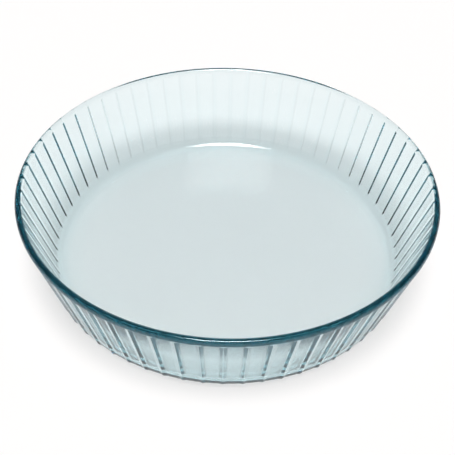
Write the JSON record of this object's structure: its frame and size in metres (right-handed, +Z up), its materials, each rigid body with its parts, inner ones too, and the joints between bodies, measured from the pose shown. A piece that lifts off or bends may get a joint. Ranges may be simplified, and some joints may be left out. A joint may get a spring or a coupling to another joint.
{
  "type": "round glass baking dish",
  "caption": "Round clear pressed-glass baking dish with a flared fluted wall of flat panels between upright ribs, a plain thick rim, a rounded floor corner and a flat foot ring.",
  "frame": {"origin": "centre of the underside, on the surface that the foot ring rests on", "axes": "+Z up along the dish's axis, out of its mouth; +X and +Y level, with a rib of the wall on -Y"},
  "size_m": [0.26, 0.26, 0.0602],
  "materials": {
    "glass": "clear pressed glass, fire polished, with a pale blue-green tint where it is thick"
  },
  "bodies": {
    "root": {"fluted_dish": "glass"}
  },
  "joints": []
}
